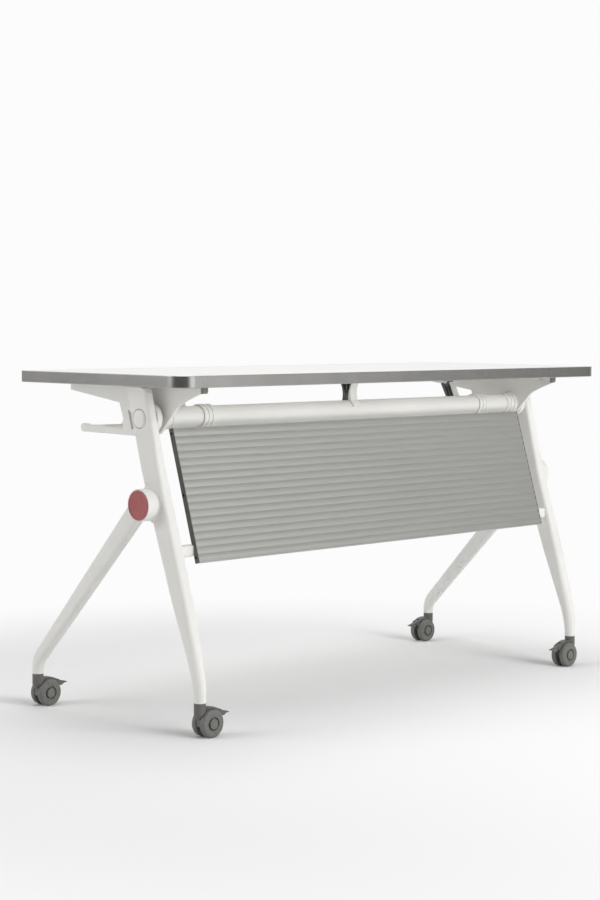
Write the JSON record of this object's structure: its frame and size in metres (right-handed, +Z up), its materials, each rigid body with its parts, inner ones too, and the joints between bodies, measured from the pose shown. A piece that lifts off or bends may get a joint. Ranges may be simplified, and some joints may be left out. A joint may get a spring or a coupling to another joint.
{
  "type": "folding desk",
  "caption": "Flip-top training desk: rectangular worktop turning on a round beam between splayed legs, with a ribbed modesty panel, bag hooks, release handles and braked twin-wheel casters.",
  "frame": {"origin": "on the floor under the middle of the worktop", "axes": "+X along the desk, -Y to the front with the modesty panel, +Y to the user's side, +Z up"},
  "size_m": [1.4, 0.55, 0.75],
  "materials": {
    "white_laminate": "satin melamine laminate on particle board",
    "grey_edge_band": "satin grey PVC edge band",
    "white_coated_casting": "satin warm white powder coat on cast aluminium",
    "white_coated_steel": "satin warm white powder coat on steel",
    "bright_steel": "zinc plated turned steel",
    "black_screw": "black oxide steel",
    "silver_panel": "satin silver grey on a ribbed aluminium sheet",
    "dark_grey_plastic": "fine textured dark grey moulding",
    "red_cap": "satin dusty red moulding",
    "white_plastic": "satin white moulding",
    "natural_nylon": "natural nylon",
    "bumper_rubber": "mid grey rubber",
    "caster_plastic": "satin dark grey nylon",
    "wheel_tread": "grey polyurethane on nylon"
  },
  "bodies": {
    "frame": {"crossbeam": "white_coated_steel", "modesty_panel": "silver_panel", "panel_screws": "black_screw", "hub_bolts": "bright_steel", "pivot_bolts": "bright_steel", "caster_sockets": "caster_plastic", "left_front_leg": "white_coated_casting", "left_rear_leg": "white_coated_casting", "left_hub_cap": "red_cap", "left_pivot_cap": "white_plastic", "left_pivot_shaft": "bright_steel", "left_index_collar": "white_coated_casting", "left_panel_end": "dark_grey_plastic", "right_front_leg": "white_coated_casting", "right_rear_leg": "white_coated_casting", "right_hub_cap": "red_cap", "right_pivot_cap": "white_plastic", "right_pivot_shaft": "bright_steel", "right_index_collar": "white_coated_casting", "right_panel_end": "dark_grey_plastic"},
    "top": {"tabletop_board": "white_laminate", "tabletop_edge_band": "grey_edge_band", "top_screws": "bright_steel", "pivot_bushes": "natural_nylon", "handle_pins": "bright_steel", "saddle_frame": "white_plastic", "saddle_core": "dark_grey_plastic", "left_flip_bracket": "white_coated_casting", "left_front_bumper": "bumper_rubber", "left_handle_mount": "white_coated_steel", "right_flip_bracket": "white_coated_casting", "right_front_bumper": "bumper_rubber", "right_handle_mount": "white_coated_steel"},
    "left_handle": {"left_handle_core": "dark_grey_plastic", "left_handle_cover": "white_plastic"},
    "left_front_caster": {"left_front_caster_housing": "caster_plastic", "left_front_caster_axle": "bright_steel"},
    "left_front_front_wheel": {"left_front_front_wheel": "wheel_tread"},
    "left_front_rear_wheel": {"left_front_rear_wheel": "wheel_tread"},
    "left_front_pedal": {"left_front_brake_pedal": "caster_plastic"},
    "left_rear_caster": {"left_rear_caster_housing": "caster_plastic", "left_rear_caster_axle": "bright_steel"},
    "left_rear_front_wheel": {"left_rear_front_wheel": "wheel_tread"},
    "left_rear_rear_wheel": {"left_rear_rear_wheel": "wheel_tread"},
    "left_rear_pedal": {"left_rear_brake_pedal": "caster_plastic"},
    "right_handle": {"right_handle_core": "dark_grey_plastic", "right_handle_cover": "white_plastic"},
    "right_front_caster": {"right_front_caster_housing": "caster_plastic", "right_front_caster_axle": "bright_steel"},
    "right_front_front_wheel": {"right_front_front_wheel": "wheel_tread"},
    "right_front_rear_wheel": {"right_front_rear_wheel": "wheel_tread"},
    "right_front_pedal": {"right_front_brake_pedal": "caster_plastic"},
    "right_rear_caster": {"right_rear_caster_housing": "caster_plastic", "right_rear_caster_axle": "bright_steel"},
    "right_rear_front_wheel": {"right_rear_front_wheel": "wheel_tread"},
    "right_rear_rear_wheel": {"right_rear_rear_wheel": "wheel_tread"},
    "right_rear_pedal": {"right_rear_brake_pedal": "caster_plastic"}
  },
  "joints": [
    {"name": "flip", "type": "hinge", "parent": "frame", "child": "top", "pos_m": [0, -0.08, 0.655], "axis": [1, 0, 0], "range_deg": [0, 85]},
    {"name": "left_handle_pull", "type": "hinge", "parent": "top", "child": "left_handle", "pos_m": [-0.4615, 0.015, 0.711], "axis": [1, 0, 0], "range_deg": [-1.3, 12], "stiffness_Nm_per_rad": 2},
    {"name": "left_front_swivel", "type": "hinge", "parent": "frame", "child": "left_front_caster", "pos_m": [-0.627, -0.254, 0.09], "axis": [0, 0, 1], "continuous": true},
    {"name": "left_front_front_wheel_roll", "type": "hinge", "parent": "left_front_caster", "child": "left_front_front_wheel", "pos_m": [-0.605, -0.254, 0.0295], "axis": [0, 1, 0], "continuous": true},
    {"name": "left_front_rear_wheel_roll", "type": "hinge", "parent": "left_front_caster", "child": "left_front_rear_wheel", "pos_m": [-0.605, -0.254, 0.0295], "axis": [0, 1, 0], "continuous": true},
    {"name": "left_front_brake", "type": "hinge", "parent": "left_front_caster", "child": "left_front_pedal", "pos_m": [-0.5775, -0.254, 0.05], "axis": [0, 1, 0], "range_deg": [0, 12]},
    {"name": "left_rear_swivel", "type": "hinge", "parent": "frame", "child": "left_rear_caster", "pos_m": [-0.66, 0.247, 0.09], "axis": [0, 0, 1], "continuous": true},
    {"name": "left_rear_front_wheel_roll", "type": "hinge", "parent": "left_rear_caster", "child": "left_rear_front_wheel", "pos_m": [-0.638, 0.247, 0.0295], "axis": [0, 1, 0], "continuous": true},
    {"name": "left_rear_rear_wheel_roll", "type": "hinge", "parent": "left_rear_caster", "child": "left_rear_rear_wheel", "pos_m": [-0.638, 0.247, 0.0295], "axis": [0, 1, 0], "continuous": true},
    {"name": "left_rear_brake", "type": "hinge", "parent": "left_rear_caster", "child": "left_rear_pedal", "pos_m": [-0.6105, 0.247, 0.05], "axis": [0, 1, 0], "range_deg": [0, 12]},
    {"name": "right_handle_pull", "type": "hinge", "parent": "top", "child": "right_handle", "pos_m": [0.4615, 0.015, 0.711], "axis": [1, 0, 0], "range_deg": [-1.3, 12], "stiffness_Nm_per_rad": 2},
    {"name": "right_front_swivel", "type": "hinge", "parent": "frame", "child": "right_front_caster", "pos_m": [0.627, -0.254, 0.09], "axis": [0, 0, 1], "continuous": true},
    {"name": "right_front_front_wheel_roll", "type": "hinge", "parent": "right_front_caster", "child": "right_front_front_wheel", "pos_m": [0.605, -0.254, 0.0295], "axis": [0, 1, 0], "continuous": true},
    {"name": "right_front_rear_wheel_roll", "type": "hinge", "parent": "right_front_caster", "child": "right_front_rear_wheel", "pos_m": [0.605, -0.254, 0.0295], "axis": [0, 1, 0], "continuous": true},
    {"name": "right_front_brake", "type": "hinge", "parent": "right_front_caster", "child": "right_front_pedal", "pos_m": [0.5775, -0.254, 0.05], "axis": [0, -1, 0], "range_deg": [0, 12]},
    {"name": "right_rear_swivel", "type": "hinge", "parent": "frame", "child": "right_rear_caster", "pos_m": [0.66, 0.247, 0.09], "axis": [0, 0, 1], "continuous": true},
    {"name": "right_rear_front_wheel_roll", "type": "hinge", "parent": "right_rear_caster", "child": "right_rear_front_wheel", "pos_m": [0.638, 0.247, 0.0295], "axis": [0, 1, 0], "continuous": true},
    {"name": "right_rear_rear_wheel_roll", "type": "hinge", "parent": "right_rear_caster", "child": "right_rear_rear_wheel", "pos_m": [0.638, 0.247, 0.0295], "axis": [0, 1, 0], "continuous": true},
    {"name": "right_rear_brake", "type": "hinge", "parent": "right_rear_caster", "child": "right_rear_pedal", "pos_m": [0.6105, 0.247, 0.05], "axis": [0, -1, 0], "range_deg": [0, 12]}
  ]
}
